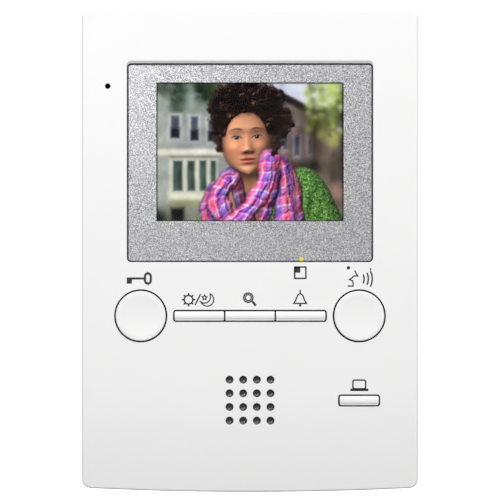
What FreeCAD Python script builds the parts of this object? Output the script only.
import FreeCAD, Part

import math
import os

# Wall-mounted video intercom monitor with a hands-free speaker.
#
# Frame, millimetres: +X to the viewer's right, +Y into the wall, +Z up. The origin is the centre of the
# mounting pattern on the wall face, so the wall is the plane y = 0 and the front faces -Y.
# The front cover is a deep white shell with a recessed silver fascia round the screen, two round keys, a
# strip of three narrow keys, one small key and a 4 x 4 speaker grille. Behind it lie the display, the
# circuit board with the key switches, the speaker and the microphone. A shallow rear cover closes the
# shell and hangs on a steel wall bracket.

V = FreeCAD.Vector
OUT = "parts"

# ---------------------------------------------------------------- driving dimensions
WIDTH = 129.0
HEIGHT = 185.0
DEPTH = 25.0
CORNER_R = 3.5
BOTTOM_BOW_R = 1250.0  # the lower edge bows outwards
LOWER_CURVE_Z = -52.0  # below this height the front face curves back
LOWER_CURVE_R = 360.0
RIM_FILLET = 0.8

SIDE_WALL = 2.0
FRONT_WALL = 2.4
PARTING_Y = -9.0  # where the front cover's side walls end
REAR_INSET = 1.0  # the rear cover is this much smaller on every side
REAR_WALL = 2.4
REAR_RIM_Y = -0.5
FLOOR_BACK_Y = -1.6
FLOOR_THICK = 2.0
BRACKET_THICK = 1.2

FRONT_Y = -DEPTH
INNER_Y = FRONT_Y + FRONT_WALL
FLOOR_Y = FLOOR_BACK_Y - FLOOR_THICK
TOP_Z = HEIGHT / 2
BOTTOM_Z = -HEIGHT / 2

# Fascia, window and display
FASCIA_Z = 34.4
FASCIA_W = 94.4  # opening in the cover
FASCIA_H = 77.2
FASCIA_R = 1.6
FASCIA_GAP = 0.25
FASCIA_DEPTH = 1.0
FASCIA_THICK = 0.4
FASCIA_BEVEL = 0.45  # width of the panel's bevelled edge
FASCIA_BEVEL_DEPTH = 0.2
RECESS_TOP_SLOPE = 1.15  # the recess's upper wall slopes in this much
RECESS_SIDE_SLOPE = 0.1
WINDOW_THICK = 1.2
TAPE_THICK = 0.2
LEDGE_THICK = 1.4
SCREEN_Z = 38.1
SCREEN_W = 71.8
SCREEN_H = 53.2
LCD_W = 77.0
LCD_BOTTOM_Z = 3.4
LCD_TOP_Z = 67.9
LCD_PICTURE_W = 73.4
LCD_PICTURE_H = 54.6
GASKET_THICK = 0.5
CELL_THICK = 1.3
BACKLIGHT_THICK = 1.8
CAN_SHEET = 0.3
CARRIER_THICK = 1.5

FASCIA_Y = FRONT_Y + FASCIA_DEPTH
WINDOW_Y = FASCIA_Y + FASCIA_THICK
TAPE_Y = WINDOW_Y + WINDOW_THICK
LEDGE_Y = TAPE_Y + TAPE_THICK
LEDGE_BACK_Y = LEDGE_Y + LEDGE_THICK
CAN_Y = TAPE_Y + GASKET_THICK
CELL_Y = CAN_Y + CAN_SHEET
BACKLIGHT_Y = CELL_Y + CELL_THICK
CARRIER_Y = BACKLIGHT_Y + BACKLIGHT_THICK + 0.1
CARRIER_BACK_Y = CARRIER_Y + CARRIER_THICK
LCD_MID_Z = (LCD_BOTTOM_Z + LCD_TOP_Z) / 2
POCKET_W = FASCIA_W - 2 * RECESS_SIDE_SLOPE  # the recess where the panel lies
POCKET_H = FASCIA_H - RECESS_TOP_SLOPE
POCKET_Z = FASCIA_Z - RECESS_TOP_SLOPE / 2
LCD_H = LCD_TOP_Z - LCD_BOTTOM_Z

# Keys: each has a cap, a stem and the plunger of its switch
KEY_ROW_Z = -24.8
ROUND_KEY_X = 41.85
ROUND_HOLE_R = 10.17
KEY_GAP = 0.6
ROUND_PROUD = 0.8
ROUND_DISH = 0.4
STRIP_W = 58.85
STRIP_H = 4.6
STRIP_R = 1.1
STRIP_DIVIDER_X = 9.68
DIVIDER_GAP = 0.6
CALL_KEY_X = 41.8
CALL_KEY_Z = -57.2
CALL_W = 16.05
KEY_PROUD = 1.0
KEY_FLANGE = 0.9
KEY_FLANGE_THICK = 1.0
KEY_FLANGE_Y = INNER_Y + 0.2
KEY_BACK_Y = KEY_FLANGE_Y + KEY_FLANGE_THICK
KEY_TOP_THICK = 2.0
STEM_END_Y = -17.5
STEM_R = 2.0

# Circuit board and switches
BOARD_Y = -13.0
BOARD_THICK = 1.6
BOARD_BACK_Y = BOARD_Y + BOARD_THICK
BOARD_HALF_W = 59.5
BOARD_TOP_Z = 80.0
BOARD_BOTTOM_Z = -79.0
BOARD_NOTCH_HALF_W = 17.0
BOARD_NOTCH_TOP_Z = -38.0
SWITCH_SIDE = 6.0
SWITCH_FRONT_Y = BOARD_Y - 3.5
PLUNGER_R = 1.7
PLUNGER_LENGTH = 1.9
SWITCH_BORE_R = 1.77
SWITCH_BORE_DEPTH = 1.5

# Speaker and microphone
SPEAKER_Z = -57.1
GRILLE_PITCH = 5.23
GRILLE_COUNT = 4
GRILLE_HOLE_R = 1.5
SPEAKER_R = 22.5
SPEAKER_RING_R = 22.8
SPEAKER_RING_WALL = 1.5
SPEAKER_SEAT_Y = -21.4
CLOTH_THICK = 0.3
SPEAKER_GASKET_THICK = 0.8
BASKET_Y = SPEAKER_SEAT_Y + CLOTH_THICK + SPEAKER_GASKET_THICK
BASKET_FLANGE = 1.0
BASKET_BACK_Y = -12.0
MAGNET_BACK_Y = -6.6
CLAMP_X = 28.5
CLAMP_THICK = 1.0
MIC_X = -54.5
MIC_Z = 63.2
MIC_HOLE_R = 1.05

HEADER_X = -30.0
HEADER_Z = -43.0

# Status lamp
LED_X = 19.7
LED_Z = -3.05
LED_PIPE_R = 0.9
LED_HOLE_R = 0.98

# Slide controls in the lower edge
SLIDE_X = {"chime_volume": -38.0, "receive_volume": 27.0, "brightness": 41.0}
SLIDE_TRAVEL = 2.5  # each way
SLIDE_Y = -14.75
SLIDE_LEVER_W = 2.4
SLIDE_LEVER_T = 1.6
SLIDE_BODY_Z = -84.0
SLIDE_PROUD = 0.5

# Fasteners: x, z
HOUSING_SCREWS = [(-52.0, 84.5), (52.0, 84.5), (-52.0, -83.0), (52.0, -83.0)]
BOARD_SCREWS = [(sx * 56.0, z) for z in (74.0, -5.0, -73.0) for sx in (-1, 1)]
LCD_SCREWS = [(sx * 43.5, z) for z in (58.0, 12.0) for sx in (-1, 1)]
SPEAKER_SCREWS = [(-CLAMP_X, SPEAKER_Z), (CLAMP_X, SPEAKER_Z)]
PILOT_R = 1.15
SCREW_R = 1.1

# Wall bracket: a two-gang box pattern, with a centre line of two more holes
GANG_X = 46.0
GANG_Z = 83.3
WALL_SLOT_R = 2.1
WALL_SLOT_LENGTH = 8.0
LINE_HOLE_Z = 66.0
LINE_HOLE_R = 2.2
HEAD_POCKET_R = 6.0
BRACKET_HALF_W = 44.0
BRACKET_TOP_Z = 76.0
BRACKET_BOTTOM_Z = -85.0
CABLE_HALF_W = 24.0
CABLE_HALF_H = 25.0
HOOK_X = 34.0
HOOK_ZS = (58.0, -52.0)
HOOK_HALF_W = 5.0
HOOK_RISE = 6.0
LOCK_Y = -5.5
LOCK_R = 1.5
LOCK_HEAD_R = 2.6

# Terminal block, seen through the rear cover's opening
TERMINAL_COUNT = 4
TERMINAL_PITCH = 7.0
TERMINAL_Z = 13.0
TERMINAL_DEPTH = 10.0
TERMINAL_BACK_Y = -2.8


# ---------------------------------------------------------------- helpers
def box(x0, x1, y0, y1, z0, z1):
    """A block between two corners."""
    return Part.makeBox(x1 - x0, y1 - y0, z1 - z0, V(x0, y0, z0))


def rod(x, z, r, y0, y1):
    """A cylinder along +Y from y0 to y1."""
    return Part.makeCylinder(r, y1 - y0, V(x, y0, z), V(0, 1, 0))


def rod_z(x, y, r, z0, z1):
    """A cylinder along +Z from z0 to z1."""
    return Part.makeCylinder(r, z1 - z0, V(x, y, z0), V(0, 0, 1))


def tube(x, z, r_in, r_out, y0, y1):
    return rod(x, z, r_out, y0, y1).cut(rod(x, z, r_in, y0, y1))


def cone(x, z, r0, r1, y0, y1):
    return Part.makeCone(r0, r1, y1 - y0, V(x, y0, z), V(0, 1, 0))


def rounded_wire(cx, cz, w, h, r, y0):
    """A closed outline facing Y, w by h, with corner radius r."""
    x0, x1, z0, z1 = cx - w / 2, cx + w / 2, cz - h / 2, cz + h / 2
    k = r * (1 - math.sqrt(0.5))
    edges = []
    for a, b in (
        ((x0 + r, z0), (x1 - r, z0)),
        ((x1, z0 + r), (x1, z1 - r)),
        ((x1 - r, z1), (x0 + r, z1)),
        ((x0, z1 - r), (x0, z0 + r)),
    ):
        edges.append(Part.LineSegment(V(a[0], y0, a[1]), V(b[0], y0, b[1])).toShape())
    for a, m, b in (
        ((x1 - r, z0), (x1 - k, z0 + k), (x1, z0 + r)),
        ((x1, z1 - r), (x1 - k, z1 - k), (x1 - r, z1)),
        ((x0 + r, z1), (x0 + k, z1 - k), (x0, z1 - r)),
        ((x0, z0 + r), (x0 + k, z0 + k), (x0 + r, z0)),
    ):
        edges.append(Part.Arc(*(V(p[0], y0, p[1]) for p in (a, m, b))).toShape())
    return Part.Wire(Part.__sortEdges__(edges))


def plate(cx, cz, w, h, r, y0, y1):
    """A flat plate facing Y, w by h, with corner radius r."""
    return Part.Face(rounded_wire(cx, cz, w, h, r, y0)).extrude(V(0, y1 - y0, 0))


def outline(inset, y):
    """The casing's outline as a face at y: straight top and sides, bowed bottom, round corners."""
    half, top = WIDTH / 2 - inset, TOP_Z - inset
    r, bow = max(CORNER_R - inset, 0.5), BOTTOM_BOW_R - inset
    centre_z = BOTTOM_Z + BOTTOM_BOW_R
    corner_z = centre_z - math.sqrt((bow - r) ** 2 - (half - r) ** 2)
    reach = math.atan2(half - r, centre_z - corner_z)  # how far round the bow the corner starts

    def on_bow(angle):
        return V(bow * math.sin(angle), y, centre_z - bow * math.cos(angle))

    def on_corner(sign, angle):
        return V(sign * (half - r + r * math.cos(angle)), y, corner_z - r * math.sin(angle))

    k = r * (1 - math.sqrt(0.5))
    mid = (math.pi / 2 - reach) / 2
    edges = [
        Part.Arc(on_bow(-reach), on_bow(0), on_bow(reach)).toShape(),
        Part.LineSegment(V(half - r, y, top), V(r - half, y, top)).toShape(),
    ]
    for s in (-1, 1):
        edges.append(Part.Arc(on_bow(s * reach), on_corner(s, mid), on_corner(s, 0)).toShape())
        edges.append(Part.LineSegment(V(s * half, y, corner_z), V(s * half, y, top - r)).toShape())
        upper = (V(s * half, y, top - r), V(s * (half - k), y, top - k), V(s * (half - r), y, top))
        edges.append(Part.Arc(*upper).toShape())
    return Part.Face(Part.Wire(Part.__sortEdges__(edges)))


def outline_prism(inset, y0, y1):
    return outline(inset, y0).extrude(V(0, y1 - y0, 0))


def front_profile(offset, y_back):
    """Everything behind the front face moved back by offset: flat above, curving back below."""
    y, r = FRONT_Y + offset, LOWER_CURVE_R - offset
    low, high, over = BOTTOM_Z - 5, TOP_Z + 5, WIDTH

    def on_curve(z):
        return y + r - math.sqrt(r * r - (LOWER_CURVE_Z - z) ** 2)

    def at(yy, zz):
        return V(-over / 2 - 5, yy, zz)

    mid = (LOWER_CURVE_Z + low) / 2
    corners = [at(on_curve(low), low), at(y_back, low), at(y_back, high), at(y, high), at(y, LOWER_CURVE_Z)]
    edges = [Part.LineSegment(a, b).toShape() for a, b in zip(corners, corners[1:])]
    edges.append(Part.Arc(corners[-1], at(on_curve(mid), mid), corners[0]).toShape())
    wire = Part.Wire(Part.__sortEdges__(edges))
    return Part.Face(wire).extrude(V(over + 10, 0, 0))


def front_y(z):
    """Where the front face is at height z, at the middle of the width."""
    below = max(0.0, LOWER_CURVE_Z - z)
    return FRONT_Y + LOWER_CURVE_R - math.sqrt(LOWER_CURVE_R**2 - below**2)


def lower_edge_z(x):
    return BOTTOM_Z + BOTTOM_BOW_R - math.sqrt(BOTTOM_BOW_R**2 - x * x)


def fuse(shapes):
    """One solid from touching or overlapping shapes."""
    whole = shapes[0]
    if len(shapes) > 1:
        whole = whole.multiFuse(shapes[1:])
    return whole.removeSplitter()


def group(shapes):
    return Part.makeCompound(shapes)


def pan_screw(x, z, y_head, length, r=SCREW_R, head_r=2.2, head_h=1.5):
    """A pan-head screw that goes towards -Y from under its head at y_head, with a cross recess."""
    head = rod(x, z, head_r, y_head, y_head + head_h)
    head = head.makeFillet(0.5, [e for e in head.Edges if e.BoundBox.YMin > y_head + head_h - 1e-6])
    shank = rod(x, z, r, y_head - length, y_head)
    screw = head.fuse(shank)
    arm, width, deep = head_r * 0.62, 0.5, 0.8
    y_top = y_head + head_h
    cross = box(x - arm, x + arm, y_top - deep, y_top + 1, z - width / 2, z + width / 2)
    cross = cross.fuse(box(x - width / 2, x + width / 2, y_top - deep, y_top + 1, z - arm, z + arm))
    return screw.cut(cross).removeSplitter()


# ---------------------------------------------------------------- casing
def casing_blank(inset, offset, y_back):
    """The casing's outer form, moved in by inset at the sides and by offset at the front."""
    return outline_prism(inset, FRONT_Y + offset, y_back).common(front_profile(offset, y_back))


def rim_edges(blank):
    """The edges round the front face, without the line where the flat part meets the curve."""
    found = []
    for e in blank.Edges:
        b = e.BoundBox
        across = abs(b.ZMin - LOWER_CURVE_Z) < 1e-3 and abs(b.ZMax - LOWER_CURVE_Z) < 1e-3
        if b.YMax < FRONT_Y + 4 and not across:
            found.append(e)
    return found


def key_holes():
    """The openings for the keys, through the front wall."""
    y0, y1 = FRONT_Y - 1, INNER_Y + 1
    holes = [rod(s * ROUND_KEY_X, KEY_ROW_Z, ROUND_HOLE_R, y0, y1) for s in (-1, 1)]
    holes.append(plate(0, KEY_ROW_Z, STRIP_W, STRIP_H, STRIP_R, y0, y1))
    holes.append(plate(CALL_KEY_X, CALL_KEY_Z, CALL_W, STRIP_H, STRIP_R, y0, y1))
    return holes


def grille_holes():
    first = -GRILLE_PITCH * (GRILLE_COUNT - 1) / 2
    steps = [first + i * GRILLE_PITCH for i in range(GRILLE_COUNT)]
    y0, y1 = FRONT_Y - 1, SPEAKER_SEAT_Y + 1
    return [rod(x, SPEAKER_Z + z, GRILLE_HOLE_R, y0, y1) for x in steps for z in steps]


def mouth_edges(shell):
    """The edges of the recess, key holes, grille holes and microphone hole on the front face."""
    found = []
    for e in shell.Edges:
        b = e.BoundBox
        inside = b.XMin > -57 and b.XMax < 57 and b.ZMin > -70 and b.ZMax < 75
        on_front = b.YMax < FRONT_Y + 0.45 and inside
        across = abs(b.ZMin - LOWER_CURVE_Z) < 1e-3 and abs(b.ZMax - LOWER_CURVE_Z) < 1e-3
        if on_front and not across:
            found.append(e)
    return found


def front_cover():
    outer = casing_blank(0, 0, PARTING_Y)
    outer = outer.makeFillet(RIM_FILLET, rim_edges(outer))
    cavity = casing_blank(SIDE_WALL, FRONT_WALL, PARTING_Y + 1)
    shell = outer.cut(cavity)

    # What stands on the inside of the front wall; each piece starts inside the wall.
    root_y = INNER_Y - 0.4
    frame = plate(0, FASCIA_Z, FASCIA_W + 4, FASCIA_H + 4, FASCIA_R + 1, root_y, LEDGE_BACK_Y)
    seat = rod(0, SPEAKER_Z, SPEAKER_RING_R + SPEAKER_RING_WALL, root_y, SPEAKER_SEAT_Y)
    ring_out, ring_back = SPEAKER_RING_R + SPEAKER_RING_WALL, BASKET_Y + BASKET_FLANGE
    ring = tube(0, SPEAKER_Z, SPEAKER_RING_R, ring_out, root_y, ring_back)
    mic_collar = rod(MIC_X, MIC_Z, 5.6, root_y, INNER_Y + 4)
    bosses = [rod(x, z, 3.5, root_y, FLOOR_Y) for x, z in HOUSING_SCREWS]
    bosses += [rod(x, z, 3.0, root_y, BOARD_Y) for x, z in BOARD_SCREWS]
    bosses += [rod(x, z, 2.5, root_y, CARRIER_Y) for x, z in LCD_SCREWS]
    bosses += [rod(x, z, 2.5, root_y, BASKET_Y + BASKET_FLANGE) for x, z in SPEAKER_SCREWS]
    shell = fuse([shell, frame, seat, ring, mic_collar] + bosses)

    cuts = [plate(0, FASCIA_Z, FASCIA_W, FASCIA_H, FASCIA_R, FRONT_Y - 1, FRONT_Y)]
    mouth = rounded_wire(0, FASCIA_Z, FASCIA_W, FASCIA_H, FASCIA_R, FRONT_Y)
    root = rounded_wire(0, POCKET_Z, POCKET_W, POCKET_H, FASCIA_R - 0.1, FASCIA_Y)
    cuts.append(Part.makeLoft([mouth, root], True, True))
    cuts.append(plate(0, POCKET_Z, POCKET_W, POCKET_H, FASCIA_R - 0.1, FASCIA_Y, LEDGE_Y))
    cuts.append(plate(0, LCD_MID_Z, LCD_W + 1, LCD_H + 1, 1.0, LEDGE_Y - 0.5, LEDGE_BACK_Y + 1))
    cuts += key_holes() + grille_holes()
    cuts.append(rod(MIC_X, MIC_Z, MIC_HOLE_R, FRONT_Y - 1, INNER_Y + 1))
    cuts.append(rod(MIC_X, MIC_Z, 4.55, INNER_Y, INNER_Y + 5))
    cuts.append(rod(LED_X, LED_Z, LED_HOLE_R, LEDGE_Y - 1, LEDGE_BACK_Y + 1))
    for x, z in HOUSING_SCREWS:
        cuts.append(rod(x, z, PILOT_R, FLOOR_Y - 11, FLOOR_Y + 1))
    for x, z in BOARD_SCREWS:
        cuts.append(rod(x, z, PILOT_R, BOARD_Y - 7, BOARD_Y + 1))
    for x, z in LCD_SCREWS:
        cuts.append(rod(x, z, PILOT_R, LEDGE_BACK_Y - 0.6, CARRIER_Y + 1))
    for x, z in SPEAKER_SCREWS:
        cuts.append(rod(x, z, PILOT_R, SPEAKER_SEAT_Y - 1, BASKET_Y + BASKET_FLANGE + 1))
    slot_half = SLIDE_TRAVEL + SLIDE_LEVER_W / 2 + 0.5
    for x in SLIDE_X.values():
        y0, y1 = SLIDE_Y - 1.2, SLIDE_Y + 1.2
        cuts.append(box(x - slot_half, x + slot_half, y0, y1, BOTTOM_Z - 2, BOTTOM_Z + 6))
    shell = shell.cut(cuts).removeSplitter()
    return shell.makeFillet(0.2, mouth_edges(shell))


def rear_cover():
    wall = outline_prism(REAR_INSET, PARTING_Y, REAR_RIM_Y)
    wall = wall.makeFillet(0.8, [e for e in wall.Edges if e.BoundBox.YMin > REAR_RIM_Y - 1e-3])
    inner = outline_prism(REAR_INSET + REAR_WALL, PARTING_Y - 1, 1)
    tongue_in = SIDE_WALL + 0.15
    tongue = outline_prism(tongue_in, PARTING_Y - 2, PARTING_Y + 1)
    tongue = tongue.cut(outline_prism(tongue_in + 1.2, PARTING_Y - 3, PARTING_Y + 2))
    floor = outline_prism(REAR_INSET + 1, FLOOR_Y, FLOOR_BACK_Y)
    cover = fuse([wall.cut(inner), tongue, floor])

    y0, y1 = FLOOR_Y - 1, FLOOR_BACK_Y + 1
    cuts = [plate(0, 0, 2 * CABLE_HALF_W + 4, 2 * CABLE_HALF_H + 4, 3, y0, y1)]
    cuts += [rod(sx * GANG_X / 2, sz * GANG_Z / 2, HEAD_POCKET_R, y0, y1) for sx in (-1, 1) for sz in (-1, 1)]
    cuts += [rod(0, s * LINE_HOLE_Z, HEAD_POCKET_R, y0, y1) for s in (-1, 1)]
    for x, z in HOUSING_SCREWS:
        cuts.append(rod(x, z, SCREW_R + 0.3, y0, y1))
        cuts.append(rod(x, z, 2.5, FLOOR_BACK_Y - 1.0, y1))
    for z in HOOK_ZS:
        top = z + BRACKET_THICK + 0.1
        for s in (-1, 1):
            mid = s * HOOK_X
            cuts.append(box(mid - HOOK_HALF_W - 1, mid + HOOK_HALF_W + 1, y0, y1, top - 8.5, top))
    lip_z = BRACKET_BOTTOM_Z
    cuts.append(box(-7, 7, y0, y1, lip_z - 1, lip_z + BRACKET_THICK + 1.2))
    z_wall = BOTTOM_Z + REAR_INSET
    cuts.append(rod_z(0, LOCK_Y, LOCK_R + 0.2, z_wall - 1, z_wall + 5))
    cuts.append(rod_z(0, LOCK_Y, LOCK_HEAD_R + 0.3, z_wall - 1, z_wall + 1.2))
    return cover.cut(cuts).removeSplitter()


def wall_bracket():
    """A steel plate with slots for a two-gang box, four hooks and a lip for the lock screw."""
    mid_z = (BRACKET_TOP_Z + BRACKET_BOTTOM_Z) / 2
    height = BRACKET_TOP_Z - BRACKET_BOTTOM_Z
    t = BRACKET_THICK
    solids = [plate(0, mid_z, 2 * BRACKET_HALF_W, height, 4, -t, 0)]
    solids.append(box(-6, 6, LOCK_Y - 2.8, 0, BRACKET_BOTTOM_Z, BRACKET_BOTTOM_Z + t))
    hook_y = FLOOR_Y - 0.3
    for z in HOOK_ZS:
        for s in (-1, 1):
            x0, x1 = s * HOOK_X - HOOK_HALF_W, s * HOOK_X + HOOK_HALF_W
            solids.append(box(x0, x1, hook_y - t, -t / 2, z, z + t))
            solids.append(box(x0, x1, hook_y - t, hook_y, z, z + HOOK_RISE))
    cuts = [plate(0, 0, 2 * CABLE_HALF_W, 2 * CABLE_HALF_H, 2, -t - 1, 1)]
    for z in HOOK_ZS:
        for s in (-1, 1):
            x0, x1 = s * HOOK_X - HOOK_HALF_W, s * HOOK_X + HOOK_HALF_W
            cuts.append(box(x0 - 0.5, x1 + 0.5, -t - 0.3, 1, z + t, z + t + 8))
    for sx in (-1, 1):
        for sz in (-1, 1):
            centre_x, centre_z = sx * GANG_X / 2, sz * GANG_Z / 2
            width = 2 * WALL_SLOT_R
            cuts.append(plate(centre_x, centre_z, WALL_SLOT_LENGTH, width, WALL_SLOT_R - 1e-3, -t - 1, 1))
    cuts += [rod(0, s * LINE_HOLE_Z, LINE_HOLE_R, -t - 1, 1) for s in (-1, 1)]
    cuts.append(rod_z(0, LOCK_Y, LOCK_R + 0.05, BRACKET_BOTTOM_Z - 2, BRACKET_BOTTOM_Z + 4))
    return fuse(solids).cut(cuts).removeSplitter()


def housing_screws():
    return group([pan_screw(x, z, FLOOR_BACK_Y - 1.0, 9.0, head_h=0.9) for x, z in HOUSING_SCREWS])


def lock_screw():
    z_head = BOTTOM_Z + REAR_INSET + 1.2
    head = rod_z(0, LOCK_Y, LOCK_HEAD_R, z_head - 1.6, z_head)
    shank = rod_z(0, LOCK_Y, LOCK_R, z_head, z_head + 8.4)
    slot = box(-3, 3, LOCK_Y - 0.4, LOCK_Y + 0.4, z_head - 2, z_head - 0.9)
    return head.fuse(shank).cut(slot).removeSplitter()


# ---------------------------------------------------------------- fascia, window and display
def fascia_panel():
    """The silver face plate with a bevelled edge, the screen opening and the lamp hole."""
    w, h, r = POCKET_W - 2 * FASCIA_GAP, POCKET_H - 2 * FASCIA_GAP, FASCIA_R - FASCIA_GAP
    bevel_y, inset = FASCIA_Y + FASCIA_BEVEL_DEPTH, 2 * FASCIA_BEVEL
    root = rounded_wire(0, POCKET_Z, w, h, r, bevel_y)
    face = rounded_wire(0, POCKET_Z, w - inset, h - inset, r - FASCIA_BEVEL, FASCIA_Y)
    panel = Part.makeLoft([root, face], True, True)
    panel = panel.fuse(plate(0, POCKET_Z, w, h, r, bevel_y, WINDOW_Y)).removeSplitter()
    opening = plate(0, SCREEN_Z, SCREEN_W, SCREEN_H, 0.4, FASCIA_Y - 1, WINDOW_Y + 1)
    return panel.cut([opening, rod(LED_X, LED_Z, LED_HOLE_R, FASCIA_Y - 1, WINDOW_Y + 1)])


def screen_window():
    """The clear plate that carries the fascia and covers the display."""
    w, h = POCKET_W - 2 * FASCIA_GAP, POCKET_H - 2 * FASCIA_GAP
    pane = plate(0, POCKET_Z, w, h, FASCIA_R - FASCIA_GAP, WINDOW_Y, TAPE_Y)
    return pane.cut(rod(LED_X, LED_Z, LED_HOLE_R, WINDOW_Y - 1, TAPE_Y + 1))


def window_tape():
    w, h = POCKET_W - 4 * FASCIA_GAP, POCKET_H - 4 * FASCIA_GAP
    frame = plate(0, POCKET_Z, w, h, FASCIA_R - FASCIA_GAP, TAPE_Y, LEDGE_Y)
    opening = plate(0, LCD_MID_Z, LCD_W + 2, LCD_H + 2, 1.0, TAPE_Y - 1, LEDGE_Y + 1)
    return frame.cut([opening, rod(LED_X, LED_Z, LED_HOLE_R + 0.3, TAPE_Y - 1, LEDGE_Y + 1)])


def lcd_gasket():
    frame = plate(0, LCD_MID_Z, LCD_W, LCD_H, 0.6, TAPE_Y, CAN_Y)
    return frame.cut(plate(0, SCREEN_Z, LCD_PICTURE_W, LCD_PICTURE_H, 0.4, TAPE_Y - 1, CAN_Y + 1))


def lcd_can():
    """The display's pressed metal frame: a lip round the picture and thin side walls."""
    can = plate(0, LCD_MID_Z, LCD_W, LCD_H, 0.6, CAN_Y, CARRIER_Y)
    room = plate(0, LCD_MID_Z, LCD_W - 2 * CAN_SHEET, LCD_H - 2 * CAN_SHEET, 0.4, CELL_Y, CARRIER_Y + 1)
    opening = plate(0, SCREEN_Z, LCD_PICTURE_W, LCD_PICTURE_H, 0.4, CAN_Y - 1, CELL_Y + 1)
    exit_slot = box(-16, 16, BACKLIGHT_Y + 0.2, CARRIER_Y + 1, LCD_BOTTOM_Z - 1, LCD_BOTTOM_Z + 1)
    return can.cut([room, opening, exit_slot])


def lcd_layer(y0, y1):
    slack = 2 * CAN_SHEET + 0.1
    return plate(0, LCD_MID_Z, LCD_W - slack, LCD_H - slack, 0.4, y0, y1)


def lcd_carrier():
    """The black plastic plate that holds the display against the cover, with an ear at each screw."""
    back = plate(0, LCD_MID_Z, LCD_W + 2, LCD_H + 2, 1.5, CARRIER_Y, CARRIER_BACK_Y)
    ears = [plate(x - math.copysign(2, x), z, 10, 8, 2, CARRIER_Y, CARRIER_BACK_Y) for x, z in LCD_SCREWS]
    rib_y0, rib_y1 = CARRIER_BACK_Y - 0.1, CARRIER_BACK_Y + 1.0
    ribs = [box(-LCD_W / 2, LCD_W / 2, rib_y0, rib_y1, z, z + 1.2) for z in (20, 50)]
    window = plate(0, LCD_MID_Z + 3, 44, 20, 2, CARRIER_Y - 1, CARRIER_BACK_Y + 2)
    holes = [rod(x, z, SCREW_R + 0.2, CARRIER_Y - 1, CARRIER_BACK_Y + 1) for x, z in LCD_SCREWS]
    return fuse([back] + ears + ribs).cut([window] + holes)


def lcd_ribbon():
    """A flat cable: out of the display's lower edge, down, and back to its socket on the board."""
    t, half = 0.3, 14.0
    y_top = BACKLIGHT_Y + 0.9
    z_start, z_level, r = LCD_BOTTOM_Z + CAN_SHEET + 0.02, -4.6, 2.0
    y_turn, y_end = y_top + r, BOARD_Y - 2.3

    def at(y, z):
        return V(-half, y, z)

    q = math.sqrt(0.5)
    outer, inner = r + t / 2, r - t / 2
    z_turn = z_level + r
    arc_out = Part.Arc(
        at(y_turn - outer, z_turn),
        at(y_turn - outer * q, z_turn - outer * q),
        at(y_turn, z_turn - outer),
    )
    arc_in = Part.Arc(
        at(y_turn, z_turn - inner),
        at(y_turn - inner * q, z_turn - inner * q),
        at(y_turn - inner, z_turn),
    )
    low, high = z_turn - outer, z_turn - inner
    edges = [
        Part.LineSegment(at(y_top - t / 2, z_start), at(y_turn - outer, z_turn)),
        arc_out,
        Part.LineSegment(at(y_turn, low), at(y_end, low)),
        Part.LineSegment(at(y_end, low), at(y_end, high)),
        Part.LineSegment(at(y_end, high), at(y_turn, high)),
        arc_in,
        Part.LineSegment(at(y_turn - inner, z_turn), at(y_top + t / 2, z_start)),
        Part.LineSegment(at(y_top + t / 2, z_start), at(y_top - t / 2, z_start)),
    ]
    wire = Part.Wire(Part.__sortEdges__([e.toShape() for e in edges]))
    return Part.Face(wire).extrude(V(2 * half, 0, 0))


def ribbon_connector():
    body = box(-16, 16, BOARD_Y - 2.3, BOARD_Y, -6.6, -2.6)
    pins = [box(x - 0.15, x + 0.15, BOARD_Y - 0.5, BOARD_Y, -7.6, -6.6) for x in range(-14, 15, 2)]
    return fuse([body] + pins)


def lcd_screws():
    return group([pan_screw(x, z, CARRIER_BACK_Y, 3.6, head_r=2.0, head_h=1.3) for x, z in LCD_SCREWS])


# ---------------------------------------------------------------- keys
def round_key(x):
    """A round cap with a shallow dish, a retaining flange, a hollow back and a stem on its switch."""
    r, y_face = ROUND_HOLE_R - KEY_GAP, FRONT_Y - ROUND_PROUD
    cap = rod(x, KEY_ROW_Z, r, y_face, KEY_BACK_Y)
    cap = cap.makeFillet(0.5, [e for e in cap.Edges if e.BoundBox.YMax < y_face + 1e-3])
    dish_r = (0.82 * r) ** 2 / (2 * ROUND_DISH) + ROUND_DISH / 2
    dish = Part.makeSphere(dish_r, V(x, y_face + ROUND_DISH - dish_r, KEY_ROW_Z))
    flange = rod(x, KEY_ROW_Z, ROUND_HOLE_R + KEY_FLANGE, KEY_FLANGE_Y, KEY_BACK_Y)
    hollow = rod(x, KEY_ROW_Z, r - 1.6, y_face + KEY_TOP_THICK, KEY_BACK_Y + 1)
    stem = rod(x, KEY_ROW_Z, STEM_R, y_face + KEY_TOP_THICK - 0.5, STEM_END_Y)
    ribs = [
        box(x - r + 1, x + r - 1, y_face + KEY_TOP_THICK - 0.5, KEY_BACK_Y, KEY_ROW_Z - 0.5, KEY_ROW_Z + 0.5),
        box(x - 0.5, x + 0.5, y_face + KEY_TOP_THICK - 0.5, KEY_BACK_Y, KEY_ROW_Z - r + 1, KEY_ROW_Z + r - 1),
    ]
    return fuse([cap.cut(dish).fuse(flange).cut(hollow), stem] + ribs)


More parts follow.
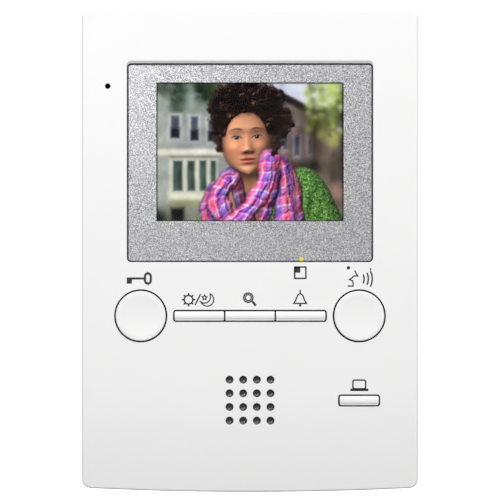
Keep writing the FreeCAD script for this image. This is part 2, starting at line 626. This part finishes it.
def bar_key(x0, x1, z, round_left, round_right):
    """A narrow cap with a bulged face over a small ledge; its outer ends follow the round slot."""
    half = STRIP_H / 2 - KEY_GAP + 0.05
    y_face, y_edge, step_z = FRONT_Y - KEY_PROUD, FRONT_Y - 0.5, z - 0.95

    def at(y, zz):
        return V(x0, y, zz)

    bulge = Part.Arc(at(y_edge, z + half), at(y_face, z + 0.35), at(y_face + 0.15, step_z)).toShape()
    corners = [
        at(y_face + 0.15, step_z),
        at(y_edge, step_z - 0.12),
        at(y_edge + 0.12, z - half),
        at(KEY_BACK_Y, z - half),
        at(KEY_BACK_Y, z + half),
        at(y_edge, z + half),
    ]
    sides = [Part.LineSegment(a, b).toShape() for a, b in zip(corners, corners[1:])]
    section = Part.Face(Part.Wire(Part.__sortEdges__([bulge] + sides)))
    cap = section.extrude(V(x1 - x0, 0, 0))
    end_r = STRIP_R - KEY_GAP + 0.1
    mask = box(x0, x1, y_face - 1, KEY_BACK_Y, z - half, z + half)
    ends = [e for e in mask.Edges if e.BoundBox.YLength > 1]
    for keep, x_end in ((round_left, x0), (round_right, x1)):
        picked = [e for e in mask.Edges if e.BoundBox.YLength > 1 and abs(e.BoundBox.XMin - x_end) < 1e-3]
        mask = mask.makeFillet(end_r if keep else 0.25, picked)
    cap = cap.common(mask)
    side = KEY_FLANGE * 0.8
    fx0 = x0 - (side if round_left else 0)
    fx1 = x1 + (side if round_right else 0)
    flange = box(fx0, fx1, KEY_FLANGE_Y, KEY_BACK_Y, z - half - KEY_FLANGE, z + half + KEY_FLANGE)
    middle = (x0 + x1) / 2
    stem = box(middle - 1.6, middle + 1.6, KEY_BACK_Y - 0.5, STEM_END_Y, z - 1.6, z + 1.6)
    return fuse([cap, flange, stem])


def plunger(x, z):
    return rod(x, z, PLUNGER_R, STEM_END_Y, STEM_END_Y + PLUNGER_LENGTH)


def key_places():
    """Every key's name with the x and z of its switch."""
    end = STRIP_W / 2 - KEY_GAP
    outer_mid = (STRIP_DIVIDER_X + DIVIDER_GAP / 2 + end) / 2
    return {
        "door_release": (-ROUND_KEY_X, KEY_ROW_Z),
        "talk": (ROUND_KEY_X, KEY_ROW_Z),
        "adjust": (-outer_mid, KEY_ROW_Z),
        "zoom": (0.0, KEY_ROW_Z),
        "monitor": (outer_mid, KEY_ROW_Z),
        "guard_call": (CALL_KEY_X, CALL_KEY_Z),
    }


def key_caps():
    end, near = STRIP_W / 2 - KEY_GAP, STRIP_DIVIDER_X + DIVIDER_GAP / 2
    call_half = CALL_W / 2 - KEY_GAP
    return {
        "door_release": round_key(-ROUND_KEY_X),
        "talk": round_key(ROUND_KEY_X),
        "adjust": bar_key(-end, -near, KEY_ROW_Z, True, False),
        "zoom": bar_key(DIVIDER_GAP - near, near - DIVIDER_GAP, KEY_ROW_Z, False, False),
        "monitor": bar_key(near, end, KEY_ROW_Z, False, True),
        "guard_call": bar_key(CALL_KEY_X - call_half, CALL_KEY_X + call_half, CALL_KEY_Z, True, True),
    }


def tact_switches():
    """The six key switches on the board: square bodies with a bore for the plunger, and four legs."""
    half = SWITCH_SIDE / 2
    solids = []
    for x, z in key_places().values():
        body = box(x - half, x + half, SWITCH_FRONT_Y, BOARD_Y, z - half, z + half)
        bore = rod(x, z, SWITCH_BORE_R, SWITCH_FRONT_Y - 1, SWITCH_FRONT_Y + SWITCH_BORE_DEPTH)
        legs = []
        for sx in (-1, 1):
            for sz in (-1, 1):
                leg_x, leg_z = x + sx * half, z + sz * 2.2
                legs.append(box(leg_x - 0.3, leg_x + 0.3, BOARD_Y - 0.6, BOARD_Y, leg_z - 0.35, leg_z + 0.35))
        solids.append(fuse([body.cut(bore)] + legs))
    return group(solids)


# ---------------------------------------------------------------- slide controls
def slide_lever(x):
    """The lever of one slide control: it passes through the lower wall and ends in a ridged tip."""
    half_w, half_t = SLIDE_LEVER_W / 2, SLIDE_LEVER_T / 2
    z_tip = lower_edge_z(abs(x) - SLIDE_TRAVEL) - SLIDE_PROUD
    lever = box(x - half_w, x + half_w, SLIDE_Y - half_t, SLIDE_Y + half_t, z_tip, SLIDE_BODY_Z + 2.7)
    grooves, y0, y1 = [], SLIDE_Y - 2, SLIDE_Y + 2
    for groove_x in (x - 0.7, x, x + 0.7):
        grooves.append(box(groove_x - 0.15, groove_x + 0.15, y0, y1, z_tip - 1, z_tip + 0.25))
    return lever.cut(grooves)


def slide_bodies():
    solids = []
    slot_half = SLIDE_TRAVEL + SLIDE_LEVER_W / 2 + 0.3
    for x in SLIDE_X.values():
        body = box(x - 5.5, x + 5.5, SLIDE_Y - 1.75, BOARD_Y, SLIDE_BODY_Z, SLIDE_BODY_Z + 8)
        half_t = SLIDE_LEVER_T / 2 + 0.1
        y0, y1 = SLIDE_Y - half_t, SLIDE_Y + half_t
        slot = box(x - slot_half, x + slot_half, y0, y1, SLIDE_BODY_Z - 1, SLIDE_BODY_Z + 3)
        solids.append(body.cut(slot))
    return group(solids)


# ---------------------------------------------------------------- speaker and microphone
def grille_cloth():
    return rod(0, SPEAKER_Z, SPEAKER_R - 0.2, SPEAKER_SEAT_Y, SPEAKER_SEAT_Y + CLOTH_THICK)


def speaker_gasket():
    y0 = SPEAKER_SEAT_Y + CLOTH_THICK
    return tube(0, SPEAKER_Z, SPEAKER_R - 3.5, SPEAKER_R - 0.2, y0, y0 + SPEAKER_GASKET_THICK)


def speaker_basket():
    """The pressed frame: a flat flange, a conical wall with four windows and a seat for the magnet."""
    y_flange = BASKET_Y + BASKET_FLANGE
    wall = 0.8
    flange = tube(0, SPEAKER_Z, SPEAKER_R - 3.5, SPEAKER_R, BASKET_Y, y_flange)
    outer = cone(0, SPEAKER_Z, SPEAKER_R - 2.5, 12, y_flange - 0.2, BASKET_BACK_Y)
    inner = cone(0, SPEAKER_Z, SPEAKER_R - 2.5 - wall, 12 - wall, y_flange - 0.2, BASKET_BACK_Y)
    back = tube(0, SPEAKER_Z, 7.0, 12, BASKET_BACK_Y - wall, BASKET_BACK_Y)
    basket = fuse([flange, outer.cut(inner), back])
    windows = []
    for i in range(4):
        window = box(8, 30, y_flange + 1.4, BASKET_BACK_Y - 1.6, -5, 5)
        window.rotate(V(0, 0, 0), V(0, 1, 0), 45 + 90 * i)
        window.translate(V(0, 0, SPEAKER_Z))
        windows.append(window)
    return basket.cut(windows).removeSplitter()


def speaker_cone():
    """The paper cone with its rolled surround and domed cap, as one thin shell made by turning."""
    r_out, t = SPEAKER_R - 3.6, 0.35
    y0, y1, r_coil, cap_h = BASKET_Y + 0.2, BASKET_BACK_Y - 2.4, 5.0, 1.2
    cap_r = (r_coil**2 + cap_h**2) / (2 * cap_h)
    half = math.asin(r_coil / cap_r) / 2
    cap_mid = (cap_r * math.sin(half), y1 - cap_h + cap_r * (1 - math.cos(half)))

    def at(r, y):
        return V(r, y, 0)

    rim_in = r_out - 1.2
    roll_in = rim_in - 3.2
    roll_mid = (rim_in + roll_in) / 2
    front = [
        Part.LineSegment(at(r_out, y0 + t), at(r_out, y0)),
        Part.LineSegment(at(r_out, y0), at(rim_in, y0)),
        Part.Arc(at(rim_in, y0), at(roll_mid, y0 + 1.3), at(roll_in, y0)),
        Part.LineSegment(at(roll_in, y0), at(r_coil, y1)),
        Part.Arc(at(r_coil, y1), at(*cap_mid), at(0, y1 - cap_h)),
        Part.LineSegment(at(0, y1 - cap_h), at(0, y1 - cap_h + t)),
        Part.Arc(at(0, y1 - cap_h + t), at(cap_mid[0], cap_mid[1] + t), at(r_coil, y1 + t)),
        Part.LineSegment(at(r_coil, y1 + t), at(roll_in, y0 + t)),
        Part.Arc(at(roll_in, y0 + t), at(roll_mid, y0 + 1.3 + t), at(rim_in, y0 + t)),
        Part.LineSegment(at(rim_in, y0 + t), at(r_out, y0 + t)),
    ]
    wire = Part.Wire(Part.__sortEdges__([e.toShape() for e in front]))
    solid = Part.Face(wire).revolve(V(0, 0, 0), V(0, 1, 0), 360)
    solid.translate(V(0, 0, SPEAKER_Z))
    return solid


def speaker_coil():
    """The voice coil's former, glued behind the cone and hanging in the magnet's gap."""
    return tube(0, SPEAKER_Z, 4.7, 5.0, BASKET_BACK_Y - 1.9, BASKET_BACK_Y + 1.6)


def speaker_magnet():
    """Front plate, ring magnet, back plate and pole, closed but for the coil's gap."""
    y0 = BASKET_BACK_Y
    block = fuse([
        rod(0, SPEAKER_Z, 11.0, y0, y0 + 1.0),
        rod(0, SPEAKER_Z, 10.5, y0 + 1.0, y0 + 4.0),
        rod(0, SPEAKER_Z, 11.0, y0 + 4.0, MAGNET_BACK_Y),
    ])
    return block.cut(tube(0, SPEAKER_Z, 4.3, 5.4, y0 - 1, y0 + 3.4))


def speaker_clamps():
    y0 = BASKET_Y + BASKET_FLANGE
    solids = []
    for s in (-1, 1):
        clamp = plate(s * (CLAMP_X - 3.0), SPEAKER_Z, 9, 6, 1.5, y0, y0 + CLAMP_THICK)
        solids.append(clamp.cut(rod(s * CLAMP_X, SPEAKER_Z, SCREW_R + 0.2, y0 - 1, y0 + 3)))
    return group(solids)


def speaker_screws():
    y0 = BASKET_Y + BASKET_FLANGE + CLAMP_THICK
    return group([pan_screw(x, z, y0, 3.2, head_r=1.9, head_h=1.2) for x, z in SPEAKER_SCREWS])


def speaker_terminal():
    """The insulating tag on the basket's back, with its two solder posts."""
    y0 = BASKET_BACK_Y
    tag = box(-16.5, -11.2, y0, y0 + 0.8, SPEAKER_Z - 3, SPEAKER_Z + 3)
    return fuse([tag] + [rod(-14.4, SPEAKER_Z + dz, 0.5, y0 + 0.4, y0 + 2.0) for dz in (-1.4, 1.4)])


def speaker_header():
    """The two-way socket on the board's back for the speaker's leads."""
    y0, z0 = BOARD_BACK_Y, HEADER_Z
    body = box(HEADER_X - 3.4, HEADER_X + 3.4, y0, y0 + 5.2, z0, z0 + 5)
    body = body.cut([rod_z(HEADER_X + dx, y0 + 3.2, 0.8, z0 - 1, z0 + 3.5) for dx in (-1.25, 1.25)])
    return body.fuse(box(HEADER_X - 2.8, HEADER_X + 2.8, y0, y0 + 1.2, z0 + 5, z0 + 6.5)).removeSplitter()


def microphone():
    return rod(MIC_X, MIC_Z, 3.0, INNER_Y + 1.0, INNER_Y + 3.6)


def microphone_boot():
    """The rubber boot that holds the microphone behind its pinhole."""
    body = rod(MIC_X, MIC_Z, 4.45, INNER_Y, INNER_Y + 4.4)
    body = body.cut(rod(MIC_X, MIC_Z, MIC_HOLE_R, INNER_Y - 1, INNER_Y + 2))
    return body.cut(rod(MIC_X, MIC_Z, 3.05, INNER_Y + 1.0, INNER_Y + 5))


def microphone_pins():
    pins = []
    for dz in (-1.27, 1.27):
        pins.append(rod(MIC_X, MIC_Z + dz, 0.3, INNER_Y + 3.6, BOARD_Y))
    return group(pins)


# ---------------------------------------------------------------- board and what is on it
def main_board():
    """The circuit board, with a notch round the speaker and a hole at each screw."""
    mid_z = (BOARD_TOP_Z + BOARD_BOTTOM_Z) / 2
    board = plate(0, mid_z, 2 * BOARD_HALF_W, BOARD_TOP_Z - BOARD_BOTTOM_Z, 2, BOARD_Y, BOARD_BACK_Y)
    notch_mid = (BOARD_NOTCH_TOP_Z + BOARD_BOTTOM_Z - 10) / 2
    notch_h = BOARD_NOTCH_TOP_Z - BOARD_BOTTOM_Z + 10
    cuts = [plate(0, notch_mid, 2 * BOARD_NOTCH_HALF_W, notch_h, 6, BOARD_Y - 1, BOARD_BACK_Y + 1)]
    cuts += [rod(x, z, SCREW_R + 0.3, BOARD_Y - 1, BOARD_BACK_Y + 1) for x, z in BOARD_SCREWS]
    return board.cut(cuts)


def board_screws():
    return group([pan_screw(x, z, BOARD_BACK_Y, 7.0) for x, z in BOARD_SCREWS])


def status_led():
    return box(LED_X - 1.0, LED_X + 1.0, BOARD_Y - 0.9, BOARD_Y, LED_Z - 0.7, LED_Z + 0.7)


def led_light_pipe():
    """A clear rod from the lamp on the board to the fascia, with a collar against the ledge."""
    pipe = rod(LED_X, LED_Z, LED_PIPE_R, FASCIA_Y, BOARD_Y - 1.1)
    tip = [e for e in pipe.Edges if e.BoundBox.YMax < FASCIA_Y + 1e-3]
    pipe = pipe.makeFillet(0.3, tip)
    return pipe.fuse(rod(LED_X, LED_Z, 1.9, LEDGE_BACK_Y, LEDGE_BACK_Y + 1.2)).removeSplitter()


def terminal_xs():
    first = -TERMINAL_PITCH * (TERMINAL_COUNT - 1) / 2
    return [first + i * TERMINAL_PITCH for i in range(TERMINAL_COUNT)]


def terminal_block():
    """The moulded block: a screw well and a wire entry for each pole."""
    half_w = TERMINAL_PITCH * TERMINAL_COUNT / 2 + 0.8
    z0, z1 = TERMINAL_Z - TERMINAL_DEPTH / 2, TERMINAL_Z + TERMINAL_DEPTH / 2
    body = box(-half_w, half_w, BOARD_BACK_Y, TERMINAL_BACK_Y, z0, z1)
    lower = [e for e in body.Edges if e.BoundBox.ZMax < z0 + 1e-3]
    slope = body.makeChamfer(1.6, [e for e in lower if e.BoundBox.YMin > TERMINAL_BACK_Y - 1e-3])
    cuts = []
    for x in terminal_xs():
        cuts.append(rod(x, TERMINAL_Z + 1, 2.2, TERMINAL_BACK_Y - 2.6, TERMINAL_BACK_Y + 1))
        y_low, y_high = BOARD_BACK_Y + 1.2, TERMINAL_BACK_Y - 2.6
        cuts.append(box(x - 2.3, x + 2.3, y_low, y_high, z0 - 1, TERMINAL_Z + 3.5))
    return slope.cut(cuts).removeSplitter()


def terminal_clamps():
    """Brass cages in the block's entries, each with a wire hole and a hole for its screw."""
    y_low, y_high = BOARD_BACK_Y + 1.3, TERMINAL_BACK_Y - 2.7
    z0, z1 = TERMINAL_Z - 2.8, TERMINAL_Z + 3.4
    mid = (y_low + y_high) / 2
    solids = []
    for x in terminal_xs():
        cage = box(x - 2.2, x + 2.2, y_low, y_high, z0, z1)
        cage = cage.cut(box(x - 1.4, x + 1.4, mid - 1.0, mid + 0.8, z0 - 1, z1 + 1))
        solids.append(cage.cut(rod(x, TERMINAL_Z + 1, 1.35, mid, y_high + 1)))
    return group(solids)


def terminal_screws():
    y_head = TERMINAL_BACK_Y - 2.3
    sizes = {"length": 1.6, "r": 1.25, "head_r": 2.0, "head_h": 1.6}
    return group([pan_screw(x, TERMINAL_Z + 1, y_head, **sizes) for x in terminal_xs()])


def board_chips():
    """Integrated circuits on the board's back: flat bodies with rows of legs."""
    solids = []
    for x, z, side, count in ((-36, 40, 14, 9), (34, 44, 10, 7), (40, 8, 9, 6)):
        half = side / 2
        body = box(x - half, x + half, BOARD_BACK_Y + 0.2, BOARD_BACK_Y + 1.7, z - half, z + half)
        legs = []
        step = side / (count + 1)
        y0, y1, reach = BOARD_BACK_Y, BOARD_BACK_Y + 0.4, half + 1
        for i in range(count):
            leg_x, leg_z = x - half + step * (i + 1), z - half + step * (i + 1)
            legs.append(box(x - reach, x + reach, y0, y1, leg_z - 0.2, leg_z + 0.2))
            legs.append(box(leg_x - 0.2, leg_x + 0.2, y0, y1, z - reach, z + reach))
        solids.append(fuse([body] + legs))
    return group(solids)


def shield_can():
    """A pressed tin box over the video stage, open towards the board."""
    x, z, y0, y1 = -36, 12, BOARD_BACK_Y, BOARD_BACK_Y + 4
    can = plate(x, z, 22, 28, 1, y0, y1)
    room = plate(x, z, 21.4, 27.4, 0.8, y0 - 1, y1 - 0.3)
    vents = [rod(x + dx, z + dz, 0.9, y1 - 1, y1 + 1) for dx in (-6, 0, 6) for dz in (-8, 0, 8)]
    return can.cut([room] + vents)


def capacitors():
    """Upright electrolytic capacitors on the board's back."""
    solids = []
    tall, short = (4.0, 6.6), (3.2, 6.0)
    places = ((-8, 52, *tall), (4, 52, *tall), (16, 54, *short), (38, -18, *tall), (48, -18, *short))
    for x, z, r, h in places:
        base = box(x - r, x + r, BOARD_BACK_Y, BOARD_BACK_Y + 0.8, z - r, z + r)
        can = rod(x, z, r - 0.2, BOARD_BACK_Y + 0.8, BOARD_BACK_Y + h)
        top = [e for e in can.Edges if e.BoundBox.YMin > BOARD_BACK_Y + h - 1e-3]
        solids.append(base.fuse(can.makeFillet(0.5, top)).removeSplitter())
    return group(solids)


TRANSFORMER_X, TRANSFORMER_Z = -40.0, -22.0


def transformer_core():
    """The line transformer's ferrite core: a closed frame with a middle leg."""
    x, z, y0, y1 = TRANSFORMER_X, TRANSFORMER_Z, BOARD_BACK_Y + 1.0, BOARD_BACK_Y + 6.6
    core = box(x - 8, x + 8, y0, y1, z - 7, z + 7)
    rooms = [box(x0, x0 + 3.3, y0 - 1, y1 + 1, z - 4.5, z + 4.5) for x0 in (x - 5.5, x + 2.2)]
    return core.cut(rooms)


def transformer_winding():
    x, z, y0, y1 = TRANSFORMER_X, TRANSFORMER_Z, BOARD_BACK_Y + 1.0, BOARD_BACK_Y + 6.6
    return box(x - 5.3, x + 5.3, y0 - 0.8, y1 + 0.6, z - 4.3, z + 4.3).cut(
        box(x - 2.3, x + 2.3, y0 - 0.1, y1 + 0.1, z - 5, z + 5)
    )


# ---------------------------------------------------------------- export
def parts():
    yield "front_cover", front_cover()
    yield "rear_cover", rear_cover()
    yield "wall_bracket", wall_bracket()
    yield "housing_screws", housing_screws()
    yield "lock_screw", lock_screw()
    yield "fascia_panel", fascia_panel()
    yield "screen_window", screen_window()
    yield "window_tape", window_tape()
    yield "lcd_gasket", lcd_gasket()
    yield "lcd_can", lcd_can()
    yield "lcd_cell", lcd_layer(CELL_Y, BACKLIGHT_Y)
    yield "lcd_backlight", lcd_layer(BACKLIGHT_Y, BACKLIGHT_Y + BACKLIGHT_THICK)
    yield "lcd_carrier", lcd_carrier()
    yield "lcd_ribbon", lcd_ribbon()
    yield "ribbon_connector", ribbon_connector()
    yield "lcd_screws", lcd_screws()
    for name, cap in key_caps().items():
        yield name + "_key", cap
    for name, (x, z) in key_places().items():
        yield name + "_plunger", plunger(x, z)
    yield "tact_switches", tact_switches()
    for name, x in SLIDE_X.items():
        yield name + "_slider", slide_lever(x)
    yield "slide_bodies", slide_bodies()
    yield "grille_cloth", grille_cloth()
    yield "speaker_gasket", speaker_gasket()
    yield "speaker_basket", speaker_basket()
    yield "speaker_cone", speaker_cone()
    yield "speaker_coil", speaker_coil()
    yield "speaker_magnet", speaker_magnet()
    yield "speaker_clamps", speaker_clamps()
    yield "speaker_screws", speaker_screws()
    yield "speaker_terminal", speaker_terminal()
    yield "speaker_header", speaker_header()
    yield "microphone", microphone()
    yield "microphone_boot", microphone_boot()
    yield "microphone_pins", microphone_pins()
    yield "main_board", main_board()
    yield "board_screws", board_screws()
    yield "status_led", status_led()
    yield "led_light_pipe", led_light_pipe()
    yield "terminal_block", terminal_block()
    yield "terminal_clamps", terminal_clamps()
    yield "terminal_screws", terminal_screws()
    yield "board_chips", board_chips()
    yield "shield_can", shield_can()
    yield "capacitors", capacitors()
    yield "transformer_core", transformer_core()
    yield "transformer_winding", transformer_winding()


def main():
    os.makedirs(OUT, exist_ok=True)
    for old in os.listdir(OUT):
        if old.endswith(".step"):
            os.remove(os.path.join(OUT, old))
    count = 0
    for name, shape in parts():
        solids = shape.Solids
        if not solids or not shape.isValid() or any(s.Volume <= 0 for s in solids):
            print("problem in", name, len(solids), shape.isValid())
        shape.exportStep(os.path.join(OUT, name + ".step"))
        count += 1
        print(f"{name}: {len(solids)} solid(s), {sum(s.Volume for s in solids):.1f} mm3")
    print(count, "nodes")


main()
